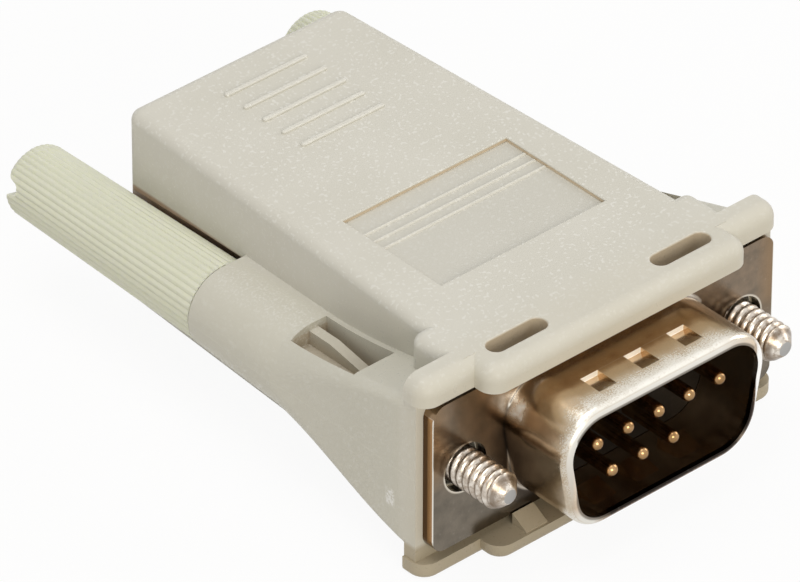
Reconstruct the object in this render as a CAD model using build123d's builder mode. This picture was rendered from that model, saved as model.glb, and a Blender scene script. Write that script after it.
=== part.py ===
from build123d import *
import math
import os

os.makedirs("parts", exist_ok=True)

# A nine-way serial plug to network jack adapter, in millimetres.
# The origin is the centre of the plug's flange face, midway between the two jackscrews.
# +X is to the right seen from the plug, +Y runs back to the jack, +Z is up.

# Jackscrews and their knobs
screw_spacing = 24.99
thread_dia = 2.84
shank_dia = 2.3
screw_reach = 4.4
screw_point = 0.85
thread_rear = -0.1
anchor_dia = 3.4
anchor_length = 3.0
knob_front_dia = 6.16
knob_rear_dia = 5.46
knob_length = 19.95
knob_ribs = 38
rib_depth = 0.14
knob_dome = 0.7
slot_width = 0.7
slot_mouth = 1.3
slot_depth = 1.4
slot_angle = -14.0

# Clearances
running_gap = 0.08
end_gap = 0.2
knob_gap = 0.32
fit_gap = 0.05
seat_gap = 0.1

# Plug: the nine-way outline, wide side up, its top side measured before the corners are rounded
rim_width = 17.75
rim_height = 8.2
rim_corner = 2.5
rim_angle = 80.0
rim_reach = 6.0
sheet = 0.5
skirt_growth = 0.7
skirt_wall = 0.4
mouth_round = 0.55
flange_width = 30.8
flange_height = 11.9
flange_corner = 1.1
flange_hole_dia = 3.7
dimple_pitch = 3.88
dimple_width = 1.55
dimple_length = 1.9
dimple_depth = 0.42
dimple_front = 4.45
cup_growth = 1.1
cup_rear = 6.0
insulator_reach = 0.75
insulator_rear = 6.3

# Pins
pin_dia = 1.02
pin_pitch = 2.77
row_gap = 2.84
pin_reach = 5.65
barrel_dia = 1.7
barrel_length = 4.2
wire_socket = 2.0

# Housing
upper_lip_gap = 0.15
upper_lip_thickness = 1.9
lower_lip_thickness = 1.25
wall = 1.3
rear_wall = 1.4
housing_rear = 37.8
rear_half_width = 9.75
side_taper = 0.052
rear_corner = 0.95
edge_round = 0.8
shoulder_half_width = 12.6
shoulder_rear = 5.6
shoulder_round = 0.85
plate_thickness = 1.12
plate_half_width = 16.05
plate_core_height = 7.3
wing_half_width = 16.2
wing_front = 0.1
wing_corner = 1.3
upper_wing_round = 1.2
lower_wing_round = 0.45
upper_lip_half_width = 11.7
lower_lip_half_width = 11.05
lip_reach = 1.7
lip_corner = 1.3
upper_lip_round = 1.1
lower_lip_round = 0.75
mould_slot_x = 7.4
mould_slot_length = 5.05
mould_slot_width = 1.42
mould_slot_y = 0.72
mould_slot_sink = 0.5
mould_slot_round = 0.15
ramp_width = 1.9
ramp_grip = 0.1
ramp_root = 0.3
ramp_nose = 0.1
ramp_setback = 0.2

# Barrels and flares around the screws
barrel_outer_dia = 6.2
barrel_front_dia = 6.95
barrel_mouth = 24.6
barrel_front = 15.8
bore_dia = 3.5
land_length = 1.4
front_land_y = 6.4
flare_mid_y = 12.2
flare_mid_top = 3.8
flare_pocket_top = 4.6
flare_plate_top = 6.5
flare_mid_growth = 0.2
flare_pocket_growth = 0.32
flare_mid_corner = 2.0
flare_front_corner = 1.0
pocket_front = 8.0
pocket_rear = 15.3
pocket_wall = 0.4
pocket_skin = 0.2
pocket_side_front = 2.8
pocket_side_rear = 2.0
web_width = 0.8
web_top = 3.05
web_bend = 13.1
web_fall = 0.185

# Top face details
recess_half_width = 7.41
recess_front = 8.18
recess_rear = 18.09
recess_depth = 0.35
recess_round = 0.1
rule_height = 0.14
rule_width = 0.28
rule_slope = 35.0
rule_first = 16.12
rule_pitch = 1.0
grip_half_width = 3.74
grip_first = 34.44
grip_pitch = 1.984
grip_width = 0.42
grip_height = 0.18
grip_round = 0.13

# Cavity and jack
cup_side_room = 0.875
cup_gap = 0.2
cavity_half_width = 8.1
cavity_front_half_width = 10.0
cavity_step = 9.0
window_half_width = 6.9
window_half_height = 5.7
jack_front = 21.5
socket_width = 11.7
socket_floor = -2.85
socket_roof = 3.85
socket_depth = 13.6
latch_width = 6.2
latch_drop = 1.5
catch_width = 4.0
catch_drop = 0.75
spring_bay_half_width = 4.3
spring_bay_top = 5.1
stop_rib = 1.0
stop_rib_inner = 5.2
contact_dia = 0.45
contact_pitch = 1.02
contact_count = 8
contact_z = 4.5
contact_fold = 35.4
contact_tip_y = 27.6
contact_tip_z = 1.85
contact_bend = 0.4
contact_drop = 0.88
contact_tail = 1.0
carrier_half_width = 5.0
carrier_depth = 2.4
carrier_floor = 2.2
carrier_top = 5.9

# Leads
lead_dia = 0.9
lead_run = 3.4

# Worked out from the sizes above
screw_x = screw_spacing / 2
flange_rear = 2 * sheet
plate_front = flange_rear
plate_rear = plate_front + plate_thickness
half_height = flange_height / 2 + upper_lip_gap + upper_lip_thickness
upper_lip_floor = half_height - upper_lip_thickness
lower_lip_floor = half_height - lower_lip_thickness
pocket_floor = bore_dia / 2 + pocket_skin
knob_front = barrel_mouth + end_gap
knob_rear = knob_front + knob_length
barrel_radius = barrel_outer_dia / 2
barrel_front_radius = barrel_front_dia / 2
scoop_radius = knob_front_dia / 2 + knob_gap
cavity_roof = half_height - wall
cavity_rear = housing_rear - rear_wall
jack_half_width = cavity_half_width - seat_gap
jack_half_height = cavity_roof - seat_gap
cup_opening_half_width = rim_width / 2 + cup_side_room
cup_opening_half_height = rim_height / 2 + cup_growth + cup_gap
knob_taper = math.degrees(math.atan((knob_front_dia - knob_rear_dia) / 2 / knob_length))
dimple_rear = dimple_length - dimple_front
socket_mouth = housing_rear - end_gap
socket_back = socket_mouth - socket_depth
pin_barrel_rear = insulator_rear + barrel_length
lead_front = pin_barrel_rear - wire_socket
lead_rear = jack_front - contact_tail


def body_side(y):
    """Half width of the tapering body at a distance y behind the flange face."""
    return rear_half_width + (housing_rear - y) * side_taper


def facing(y):
    """Upright plane across the adapter at y, drawn as seen from the plug."""
    return Plane.XZ.offset(-y)


def rim_outline(y, growth):
    """The nine-way outline at y, grown outwards evenly from the inside of the rim."""
    with BuildSketch(facing(y)) as outline:
        Trapezoid(rim_width, rim_height, rim_angle, rotation=180)
        fillet(outline.vertices(), rim_corner)
        if growth != 0:
            offset(amount=growth)
    return outline.sketch


def flare_outline(y, side_x, top_z, corner):
    """Upper right quarter of the flare at y, square inside and rounded outside."""
    with BuildSketch(facing(y)) as outline:
        with BuildLine():
            Polyline(
                (cavity_front_half_width, 0),
                (side_x, 0),
                (side_x, top_z),
                (cavity_front_half_width, top_z),
                close=True,
            )
        make_face()
        outer_corner = outline.vertices().sort_by(Axis.X)[-2:].sort_by(Axis.Y)[-1]
        fillet(outer_corner, corner)
    return outline.sketch


def rounded_bar(half_width, front, floor, corner, rounding):
    """Right half of a bar across the front of the housing, rounded along its top."""
    with BuildPart() as bar:
        with BuildSketch(Plane.XY.offset(floor)):
            with Locations((0, front)):
                Rectangle(half_width, plate_rear - front, align=(Align.MIN, Align.MIN))
        extrude(amount=half_height - floor)
        front_corner = bar.edges().filter_by(Axis.Z).sort_by(Axis.X)[-2:].sort_by(Axis.Y)[0]
        fillet(front_corner, corner)
        top_edges = bar.edges().group_by(Axis.Z)[-1]
        fillet(
            top_edges.filter_by(lambda e: e.center().X > 0.1 and e.center().Y < plate_rear - 0.01),
            min(rounding, 0.75 * (half_height - floor)),
        )
    return bar.part


def housing_half(lip_floor, lip_half_width, lip_round, wing_round, slotted):
    """Upper half of the housing, hollow, with everything that both halves share."""
    with BuildPart() as shoulder:
        with BuildSketch():
            Rectangle(shoulder_half_width, shoulder_rear, align=(Align.MIN, Align.MIN))
        extrude(amount=half_height)
        outer = shoulder.edges().filter_by(Axis.Z).sort_by(Axis.X)[-2:].sort_by(Axis.Y)[-1]
        side_top = shoulder.edges().filter_by(Axis.Y).sort_by(Axis.X)[-2:].sort_by(Axis.Z)[-1]
        rear_top = shoulder.edges().filter_by(Axis.X).sort_by(Axis.Y)[-2:].sort_by(Axis.Z)[-1]
        fillet([outer, side_top, rear_top], shoulder_round)
        split(bisect_by=facing(plate_front), keep=Keep.BOTTOM)

    with BuildPart() as quarter:
        with BuildSketch() as plan:
            with BuildLine():
                Polyline(
                    (0, plate_front),
                    (body_side(plate_front), plate_front),
                    (rear_half_width, housing_rear),
                    (0, housing_rear),
                    close=True,
                )
            make_face()
            fillet(plan.vertices().sort_by(Axis.Y)[-2:].sort_by(Axis.X)[-1], rear_corner)
        extrude(amount=half_height)
        top_edges = quarter.edges().group_by(Axis.Z)[-1]
        fillet(
            top_edges.filter_by(lambda e: e.center().X > 0.1 and e.center().Y > plate_rear),
            edge_round,
        )
        add(shoulder.part)
        with BuildSketch():
            with Locations((0, plate_front)):
                Rectangle(plate_half_width, plate_thickness, align=(Align.MIN, Align.MIN))
        extrude(amount=plate_core_height)
        add(rounded_bar(wing_half_width, wing_front, lip_floor, wing_corner, wing_round))
        add(rounded_bar(lip_half_width, -lip_reach, lip_floor, lip_corner, lip_round))

        # The barrel, and the flare that grows from it forwards to the plate
        barrel_side = screw_x + barrel_radius
        barrel_root = flare_outline(barrel_front, screw_x + barrel_front_radius, barrel_front_radius,
                                    barrel_front_radius - fit_gap)
        loft([flare_outline(barrel_mouth, barrel_side, barrel_radius, barrel_radius - fit_gap),
              barrel_root])
        loft(
            [
                barrel_root,
                flare_outline(flare_mid_y, barrel_side + flare_mid_growth, flare_mid_top,
                              flare_mid_corner),
                flare_outline(pocket_front, barrel_side + flare_pocket_growth, flare_pocket_top,
                              flare_front_corner),
                flare_outline(plate_front, plate_half_width, flare_plate_top, flare_front_corner),
            ]
        )

        # The cavity, wide around the plug and narrower past the screws
        with BuildSketch():
            Rectangle(cavity_half_width, cavity_rear, align=(Align.MIN, Align.MIN))
            Rectangle(cavity_front_half_width, cavity_step, align=(Align.MIN, Align.MIN))
            with BuildLine():
                Polyline(
                    (0, 0), (wing_half_width, 0), (wing_half_width, plate_rear), (0, plate_rear),
                    close=True,
                )
            make_face(mode=Mode.SUBTRACT)
        extrude(amount=cavity_roof, mode=Mode.SUBTRACT)
        with BuildSketch(facing(plate_rear)):
            Rectangle(cup_opening_half_width, cup_opening_half_height, align=(Align.MIN, Align.MIN))
        extrude(amount=plate_rear, mode=Mode.SUBTRACT)
        with BuildSketch(facing(housing_rear)):
            Rectangle(window_half_width, window_half_height, align=(Align.MIN, Align.MIN))
        extrude(amount=2 * rear_wall, mode=Mode.SUBTRACT)
        with BuildSketch():
            with Locations((stop_rib_inner, jack_front - stop_rib - seat_gap)):
                Rectangle(cavity_half_width - stop_rib_inner + seat_gap, stop_rib,
                          align=(Align.MIN, Align.MIN))
        extrude(amount=cavity_roof + seat_gap)

        # Two core pockets in the flare with a web between them
        with BuildSketch(Plane.XY.offset(pocket_floor)):
            with BuildLine():
                Polyline(
                    (body_side(pocket_front) + pocket_wall, pocket_front),
                    (screw_x + pocket_side_front, pocket_front),
                    (screw_x + pocket_side_rear, pocket_rear),
                    (body_side(pocket_rear) + pocket_wall, pocket_rear),
                    close=True,
                )
            make_face()
        extrude(amount=half_height, mode=Mode.SUBTRACT)
        with BuildSketch(Plane.YZ.offset(screw_x)):
            with BuildLine():
                Polyline(
                    (pocket_front - seat_gap, 0),
                    (pocket_rear + seat_gap, 0),
                    (pocket_rear + seat_gap, web_top),
                    (web_bend, web_top),
                    (pocket_front - seat_gap, web_top - web_fall * (web_bend - pocket_front)),
                    close=True,
                )
            make_face()
        extrude(amount=web_width / 2, both=True)

        # Screw passage, with two lands that carry the shank, and the scoop for the knob
        with BuildSketch(facing(barrel_mouth + end_gap)):
            with Locations((screw_x, 0)):
                Circle(bore_dia / 2)
        extrude(amount=barrel_mouth + end_gap, mode=Mode.SUBTRACT)
        for land_front in (front_land_y, barrel_mouth - land_length):
            with BuildSketch(facing(land_front + land_length)):
                with Locations((screw_x, 0)):
                    Circle(bore_dia / 2 + fit_gap)
                    Circle(shank_dia / 2 + running_gap, mode=Mode.SUBTRACT)
                with Locations((screw_x, 0)):
                    Rectangle(bore_dia + 1, bore_dia, align=(Align.CENTER, Align.MAX),
                              mode=Mode.SUBTRACT)
            extrude(amount=land_length)
        with BuildSketch(Plane((screw_x, barrel_mouth, 0), x_dir=(1, 0, 0), z_dir=(0, 1, 0))):
            Circle(scoop_radius)
        extrude(amount=housing_rear + 1 - barrel_mouth, taper=knob_taper, mode=Mode.SUBTRACT)

        # Moulding slot through the upper lip, with a softened mouth
        if slotted:
            with BuildSketch(Plane.XY.offset(lip_floor - mould_slot_sink)):
                with Locations((mould_slot_x, mould_slot_y)):
                    SlotOverall(mould_slot_length, mould_slot_width)
            extrude(amount=half_height, mode=Mode.SUBTRACT)
            mouth = quarter.edges().group_by(Axis.Z)[-1]
            fillet(
                mouth.filter_by(lambda e: abs(e.center().X - mould_slot_x) < mould_slot_length / 2
                                and abs(e.center().Y - mould_slot_y) < mould_slot_width / 2 + fit_gap),
                mould_slot_round,
            )

        # Ramps that clip over the edge of the flange
        with BuildSketch(Plane.YZ.offset(mould_slot_x)):
            with BuildLine():
                Polyline(
                    (-seat_gap, lip_floor + ramp_root),
                    (-seat_gap, flange_height / 2 - ramp_grip),
                    (ramp_setback - lip_reach, lip_floor - ramp_nose),
                    (ramp_setback - lip_reach, lip_floor + ramp_root),
                    close=True,
                )
            make_face()
        extrude(amount=ramp_width / 2, both=True)
        mirror(about=Plane.YZ)
    return quarter.part


# Upper shell, with the label recess and the grip lines on its top
with BuildPart() as upper_shell:
    add(
        housing_half(upper_lip_floor, upper_lip_half_width, upper_lip_round, upper_wing_round, True)
    )
    with BuildSketch(Plane.XY.offset(half_height)):
        with Locations((0, recess_front)):
            Rectangle(2 * recess_half_width, recess_rear - recess_front,
                      align=(Align.CENTER, Align.MIN))
    extrude(amount=-recess_depth, mode=Mode.SUBTRACT)
    recess_rim = upper_shell.edges().group_by(Axis.Z)[-1]
    fillet(
        recess_rim.filter_by(lambda e: abs(e.center().X) < recess_half_width + fit_gap
                             and recess_front - fit_gap < e.center().Y < recess_rear + fit_gap),
        recess_round,
    )
    with BuildSketch(Plane.XY.offset(half_height - recess_depth)):
        for line in range(3):
            with Locations((0, rule_first - line * rule_pitch)):
                Rectangle(2 * recess_half_width, rule_width)
    extrude(amount=rule_height, taper=rule_slope)
    with BuildSketch(Plane.XY.offset(half_height)):
        for line in range(5):
            with Locations((0, grip_first - line * grip_pitch)):
                SlotOverall(2 * grip_half_width, grip_width)
    extrude(amount=grip_height)
    fillet(upper_shell.edges().group_by(Axis.Z)[-1], grip_round)
upper_shell.part.label = "upper_shell"
export_step(upper_shell.part, "parts/upper_shell.step")

# Lower shell, the mirror of the upper one with thinner lips, no slots and a plain face
with BuildPart() as lower_shell:
    lower_half = housing_half(lower_lip_floor, lower_lip_half_width, lower_lip_round,
                              lower_wing_round, False)
    mirror(lower_half, about=Plane.XY)
lower_shell.part.label = "lower_shell"
export_step(lower_shell.part, "parts/lower_shell.step")

# Front shell of the plug: flange and nine-way skirt in one sheet, its mouth rolled inwards
with BuildPart() as plug_front_shell:
    with BuildSketch(facing(sheet)):
        RectangleRounded(flange_width, flange_height, flange_corner)
        with Locations((-screw_x, 0), (screw_x, 0)):
            Circle(flange_hole_dia / 2, mode=Mode.SUBTRACT)
    extrude(amount=sheet)
    extrude(rim_outline(sheet, skirt_growth), amount=sheet + rim_reach)
    fillet(plug_front_shell.faces().sort_by(Axis.Y)[0].edges(), mouth_round)
    extrude(rim_outline(sheet, 0), amount=sheet + rim_reach, mode=Mode.SUBTRACT)
    extrude(
        rim_outline(sheet, skirt_growth - skirt_wall),
        amount=sheet + rim_reach - skirt_wall,
        mode=Mode.SUBTRACT,
    )
    # Pressed dimples grip the mating shell: deepest at the rear, running out forwards
    for side in (-1, 1):
        inner = side * (rim_height / 2 + skirt_growth - skirt_wall)
        outer = side * (rim_height / 2 + skirt_growth)
        press = side * dimple_depth
        for place in (-1, 0, 1):
            with BuildSketch(Plane.YZ.offset(place * dimple_pitch)):
                with BuildLine():
                    Polyline(
                        (-dimple_front, inner),
                        (dimple_rear, inner - press),
                        (dimple_rear + skirt_wall, inner - press),
                        (dimple_rear + skirt_wall, inner),
                        close=True,
                    )
                make_face()
            extrude(amount=dimple_width / 2 + skirt_wall / 2, both=True)
            with BuildSketch(Plane.YZ.offset(place * dimple_pitch)):
                with BuildLine():
                    Polyline(
                        (-dimple_front, outer),
                        (dimple_rear, outer - press),
                        (dimple_rear, outer + press),
                        (-dimple_front, outer + press),
                        close=True,
                    )
                make_face()
            extrude(amount=dimple_width / 2, both=True, mode=Mode.SUBTRACT)
plug_front_shell.part.label = "plug_front_shell"
export_step(plug_front_shell.part, "parts/plug_front_shell.step")

# Rear shell of the plug: flange sheet and the cup around the insulator
with BuildPart() as plug_rear_shell:
    with BuildSketch(facing(flange_rear)):
        RectangleRounded(flange_width, flange_height, flange_corner)
        with Locations((-screw_x, 0), (screw_x, 0)):
            Circle(flange_hole_dia / 2, mode=Mode.SUBTRACT)
    extrude(amount=sheet)
    extrude(rim_outline(cup_rear, cup_growth), amount=cup_rear - sheet)
    fillet(
        plug_rear_shell.faces().sort_by(Axis.Y)[-1].edges(),
        cup_growth - skirt_wall - fit_gap,
    )
    extrude(
        rim_outline(cup_rear - skirt_wall, cup_growth - skirt_wall),
        amount=cup_rear - skirt_wall - sheet,
        mode=Mode.SUBTRACT,
    )
    extrude(rim_outline(cup_rear, -skirt_wall), amount=cup_rear, mode=Mode.SUBTRACT)
plug_rear_shell.part.label = "plug_rear_shell"
export_step(plug_rear_shell.part, "parts/plug_rear_shell.step")

# Pin places, seen from the plug: five in the top row, four below, the last one empty
pin_places = []
for column in range(5):
    pin_places.append(((column - 2) * pin_pitch, row_gap / 2))
for column in range(3):
    pin_places.append(((column - 1.5) * pin_pitch, -row_gap / 2))
pin_places.sort()

# Insulator: one black moulding held between the two shells
with BuildPart() as plug_insulator:
    block_rear = cup_rear - skirt_wall - fit_gap
    extrude(
        rim_outline(block_rear, skirt_growth - skirt_wall - fit_gap),
        amount=block_rear + insulator_reach,
    )
    extrude(
        rim_outline(block_rear, cup_growth - skirt_wall - fit_gap),
        amount=block_rear - sheet - fit_gap,
    )
    extrude(
        rim_outline(insulator_rear, -skirt_wall - fit_gap),
        amount=insulator_rear - block_rear,
    )
    for x, z in pin_places:
        with BuildSketch(facing(insulator_rear)):
            with Locations((x, z)):
                Circle(pin_dia / 2)
        extrude(amount=insulator_rear + insulator_reach, mode=Mode.SUBTRACT)
plug_insulator.part.label = "plug_insulator"
export_step(plug_insulator.part, "parts/plug_insulator.step")

# Turned pins with a rounded nose and a wire barrel at the rear
for number, (x, z) in enumerate(pin_places, start=1):
    with BuildPart() as pin:
        with BuildSketch(Plane((x, 0, z))):
            with BuildLine():
                nose = RadiusArc((0, -pin_reach), (pin_dia / 2, pin_dia / 2 - pin_reach), -pin_dia / 2)
                Polyline(
                    nose @ 1,
                    (pin_dia / 2, insulator_rear),
                    (barrel_dia / 2, insulator_rear),
                    (barrel_dia / 2, pin_barrel_rear),
                    (lead_dia / 2 + fit_gap, pin_barrel_rear),
                    (lead_dia / 2 + fit_gap, lead_front),
                    (0, lead_front),
                    nose @ 0,
                )
            make_face()
        revolve(axis=Axis((x, 0, z), (0, 1, 0)))
    pin.part.label = f"pin_{number}"
    export_step(pin.part, f"parts/pin_{number}.step")

# Jack body with the eight-way socket, its latch channel and the bay for the springs
with BuildPart() as jack_body:
    with BuildSketch(facing(cavity_rear - seat_gap)):
        Rectangle(2 * jack_half_width, 2 * jack_half_height)
    extrude(amount=cavity_rear - seat_gap - jack_front)
    with BuildSketch(facing(socket_mouth)):
        Rectangle(2 * (window_half_width - seat_gap), 2 * (window_half_height - seat_gap))
    extrude(amount=rear_wall)
    with BuildSketch(facing(socket_mouth)):
        with Locations((0, socket_floor)):
            Rectangle(socket_width, socket_roof - socket_floor, align=(Align.CENTER, Align.MIN))
            Rectangle(latch_width, latch_drop, align=(Align.CENTER, Align.MAX))
        with Locations((0, socket_floor - latch_drop)):
            Rectangle(catch_width, catch_drop, align=(Align.CENTER, Align.MAX))
    extrude(amount=socket_depth, mode=Mode.SUBTRACT)
    with BuildSketch(facing(socket_mouth - rear_wall)):
        with Locations((0, socket_roof)):
            Rectangle(2 * spring_bay_half_width, spring_bay_top - socket_roof,
                      align=(Align.CENTER, Align.MIN))
    extrude(amount=socket_depth - rear_wall, mode=Mode.SUBTRACT)
    with BuildSketch(facing(socket_back)):
        with Locations((0, carrier_floor - seat_gap)):
            Rectangle(2 * (carrier_half_width + seat_gap), carrier_top - carrier_floor + 2 * seat_gap,
                      align=(Align.CENTER, Align.MIN))
    extrude(amount=socket_back - jack_front, mode=Mode.SUBTRACT)
jack_body.part.label = "jack_body"
export_step(jack_body.part, "parts/jack_body.step")

contact_places = [(place - (contact_count - 1) / 2) * contact_pitch for place in range(contact_count)]

# Carrier block that holds the eight contact tails behind the socket
with BuildPart() as contact_carrier:
    with BuildSketch(facing(jack_front + carrier_depth)):
        with Locations((0, carrier_floor)):
            Rectangle(2 * carrier_half_width, carrier_top - carrier_floor,
                      align=(Align.CENTER, Align.MIN))
        for x in contact_places:
            with Locations((x, contact_z)):
                Circle(contact_dia / 2, mode=Mode.SUBTRACT)
    extrude(amount=carrier_depth)
contact_carrier.part.label = "contact_carrier"
export_step(contact_carrier.part, "parts/contact_carrier.step")

# Spring contacts: straight through the carrier, folded back down into the socket
for number, x in enumerate(contact_places, start=1):
    with BuildPart() as jack_contact:
        with BuildLine(Plane.YZ.offset(x)) as spring:
            FilletPolyline(
                (lead_rear, contact_z),
                (contact_fold, contact_z),
                (contact_fold, contact_z - contact_drop),
                (contact_tip_y, contact_tip_z),
                radius=contact_bend,
            )
        with BuildSketch(facing(lead_rear)):
            with Locations((x, contact_z)):
                Circle(contact_dia / 2)
        sweep(path=spring.line)
    jack_contact.part.label = f"jack_contact_{number}"
    export_step(jack_contact.part, f"parts/jack_contact_{number}.step")

# Leads from the pins to the contacts, one easy bend at each end
for number, ((pin_x, pin_z), x) in enumerate(zip(pin_places, contact_places), start=1):
    route = [
        Vector(pin_x, lead_front, pin_z),
        Vector(pin_x, lead_front + lead_run, pin_z),
        Vector(x, lead_rear - lead_run, contact_z),
        Vector(x, lead_rear, contact_z),
    ]
    turn = math.radians((route[1] - route[0]).get_angle(route[2] - route[1]))
    with BuildPart() as lead:
        with BuildLine() as run:
            FilletPolyline(*route, radius=0.45 * lead_run / math.tan(turn / 2))
        with BuildSketch(facing(lead_front)):
            with Locations((pin_x, pin_z)):
                Circle(lead_dia / 2)
        sweep(path=run.line)
    lead.part.label = f"lead_{number}"
    export_step(lead.part, f"parts/lead_{number}.step")

# Thumbscrews: a steel jackscrew moulded into a ribbed knob with a driver slot
for name, place in (("left", -screw_x), ("right", screw_x)):
    axis = Axis((place, 0, 0), (0, 1, 0))
    anchor_rear = knob_rear - 2 * slot_depth
    with BuildPart() as screw:
        with BuildSketch(Plane((place, 0, 0))):
            with BuildLine():
                Polyline(
                    (0, -screw_reach),
                    (thread_dia / 2 - screw_point, -screw_reach),
                    (thread_dia / 2, -screw_reach + screw_point),
                    (thread_dia / 2, thread_rear),
                    (shank_dia / 2, thread_rear),
                    (shank_dia / 2, anchor_rear - anchor_length),
                    (anchor_dia / 2, anchor_rear - anchor_length),
                    (anchor_dia / 2, anchor_rear),
                    (0, anchor_rear),
                    close=True,
                )
            make_face()
        revolve(axis=axis)
    screw.part.label = f"{name}_screw"
    export_step(screw.part, f"parts/{name}_screw.step")

    with BuildPart() as knob:
        ribbed = []
        for step in range(2 * knob_ribs):
            reach = knob_front_dia / 2 - rib_depth * (step % 2)
            angle = math.pi * step / knob_ribs
            ribbed.append((reach * math.cos(angle), reach * math.sin(angle)))
        with BuildSketch(Plane((place, knob_front, 0), x_dir=(1, 0, 0), z_dir=(0, 1, 0))):
            Polygon(*ribbed, align=None)
        extrude(amount=knob_length, taper=knob_taper)
        with BuildSketch(Plane((place, 0, 0))):
            with BuildLine():
                dome = RadiusArc(
                    (knob_rear_dia / 2 - knob_dome, knob_rear),
                    (knob_rear_dia / 2, knob_rear - knob_dome),
                    knob_dome,
                )
                Polyline(
                    dome @ 1,
                    (knob_front_dia, knob_front),
                    (0, knob_front),
                    (0, knob_rear),
                    dome @ 0,
                )
            make_face()
        revolve(axis=axis, mode=Mode.INTERSECT)
        slot_turn = math.radians(slot_angle)
        across = Plane((place, knob_rear, 0), x_dir=(0, 1, 0),
                       z_dir=(math.cos(slot_turn), 0, math.sin(slot_turn)))
        with BuildSketch(across):
            with BuildLine():
                Polyline(
                    (-slot_depth, -slot_width / 2),
                    (0, -slot_mouth / 2),
                    (knob_dome, -slot_mouth / 2),
                    (knob_dome, slot_mouth / 2),
                    (0, slot_mouth / 2),
                    (-slot_depth, slot_width / 2),
                    close=True,
                )
            make_face()
        extrude(amount=knob_rear_dia, both=True, mode=Mode.SUBTRACT)
        add(screw.part, mode=Mode.SUBTRACT)
    knob.part.label = f"{name}_knob"
    export_step(knob.part, f"parts/{name}_knob.step")
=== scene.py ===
import math

import bmesh
import bpy
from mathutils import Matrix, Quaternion, Vector


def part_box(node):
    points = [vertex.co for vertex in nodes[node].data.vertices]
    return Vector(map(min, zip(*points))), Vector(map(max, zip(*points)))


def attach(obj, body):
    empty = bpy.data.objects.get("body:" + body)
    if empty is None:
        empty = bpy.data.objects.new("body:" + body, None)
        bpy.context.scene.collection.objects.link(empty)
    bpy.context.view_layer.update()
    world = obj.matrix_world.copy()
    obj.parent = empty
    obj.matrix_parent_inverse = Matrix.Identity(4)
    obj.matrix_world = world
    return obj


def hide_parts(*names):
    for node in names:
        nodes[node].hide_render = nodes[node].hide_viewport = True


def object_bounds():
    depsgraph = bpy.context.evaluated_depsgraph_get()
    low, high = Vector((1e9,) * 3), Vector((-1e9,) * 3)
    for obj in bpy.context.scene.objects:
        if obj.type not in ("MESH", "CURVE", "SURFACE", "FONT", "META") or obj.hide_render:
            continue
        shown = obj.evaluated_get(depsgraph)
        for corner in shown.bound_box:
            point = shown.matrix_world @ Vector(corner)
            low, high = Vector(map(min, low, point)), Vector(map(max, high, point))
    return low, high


# A nine-way serial plug to network jack adapter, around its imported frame.
# Sizes are in millimetres, and mm turns them into Blender's metres. The place is the frame's
# own: the origin is the centre of the plug's flange face, +Y runs back to the jack, +Z is up.
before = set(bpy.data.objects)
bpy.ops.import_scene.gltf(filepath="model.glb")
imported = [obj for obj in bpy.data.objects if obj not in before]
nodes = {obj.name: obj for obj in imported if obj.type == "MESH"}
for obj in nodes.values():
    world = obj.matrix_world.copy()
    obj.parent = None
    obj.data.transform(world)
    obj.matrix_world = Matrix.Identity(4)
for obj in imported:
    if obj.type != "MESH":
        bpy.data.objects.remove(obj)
cad_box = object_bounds()
mm = 0.001

# Studio: a pale floor under the adapter, one broad lamp overhead, a softer one from the front
# left, and a camera on a long lens at the angle of a catalogue picture.
scene = bpy.context.scene
scene.view_settings.view_transform = "Standard"

camera_data = bpy.data.cameras.new("camera")
camera_data.sensor_width = 36
camera_data.lens = 420.47
camera_data.clip_start = 0.05
camera_data.clip_end = 20
camera = bpy.data.objects.new("camera", camera_data)
camera_aim = Vector((-1.038, 19.422, -1.564)) * mm
camera_reach = 636.97 * mm
camera_turn, camera_rise, camera_roll = (math.radians(turn) for turn in (-41.735, 35.663, 0.165))
camera_back = Vector((math.sin(camera_turn) * math.cos(camera_rise),
                      -math.cos(camera_turn) * math.cos(camera_rise), math.sin(camera_rise)))
camera.location = camera_aim + camera_back * camera_reach
camera.rotation_mode = "QUATERNION"
roll = Quaternion((0, 0, 1), camera_roll)
camera.rotation_quaternion = camera_back.to_track_quat("Z", "Y") @ roll
scene.collection.objects.link(camera)
scene.camera = camera

lamp_aim = Vector((0, 18, 0))


def lamp(name, place, size, power, colour):
    """An area lamp at a place in mm, turned towards the middle of the adapter."""
    data = bpy.data.lights.new(name, "AREA")
    data.shape = "RECTANGLE"
    data.size, data.size_y = size[0] * mm, size[1] * mm
    data.energy = power
    data.color = colour
    made = bpy.data.objects.new(name, data)
    made.location = Vector(place) * mm
    towards = Vector(place) - lamp_aim
    made.rotation_euler = towards.to_track_quat("Z", "Y").to_euler()
    scene.collection.objects.link(made)


lamp("overhead_lamp", (-60, 60, 620), (520, 420), 1.87, (1.0, 0.995, 0.985))
lamp("front_lamp", (-230, -540, 240), (320, 260), 1.5, (1.0, 0.955, 0.865))
lamp("right_lamp", (520, -140, 260), (260, 300), 0.7, (1.0, 0.99, 0.97))


def math_node(tree, operation, first, second=None):
    """A math node on one or two outputs or values."""
    made = tree.nodes.new("ShaderNodeMath")
    made.operation = operation
    for place, value in ((0, first), (1, second)):
        if value is None:
            continue
        if isinstance(value, (int, float)):
            made.inputs[place].default_value = value
        else:
            tree.links.new(value, made.inputs[place])
    return made.outputs["Value"]


def seen_directly(tree):
    """One for what the camera sees, also in a reflection or through glass, and zero for light."""
    path = tree.nodes.new("ShaderNodeLightPath")
    share = path.outputs["Is Camera Ray"]
    for label in ("Is Glossy Ray", "Is Transmission Ray"):
        share = math_node(tree, "MAXIMUM", share, path.outputs[label])
    return share


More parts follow.
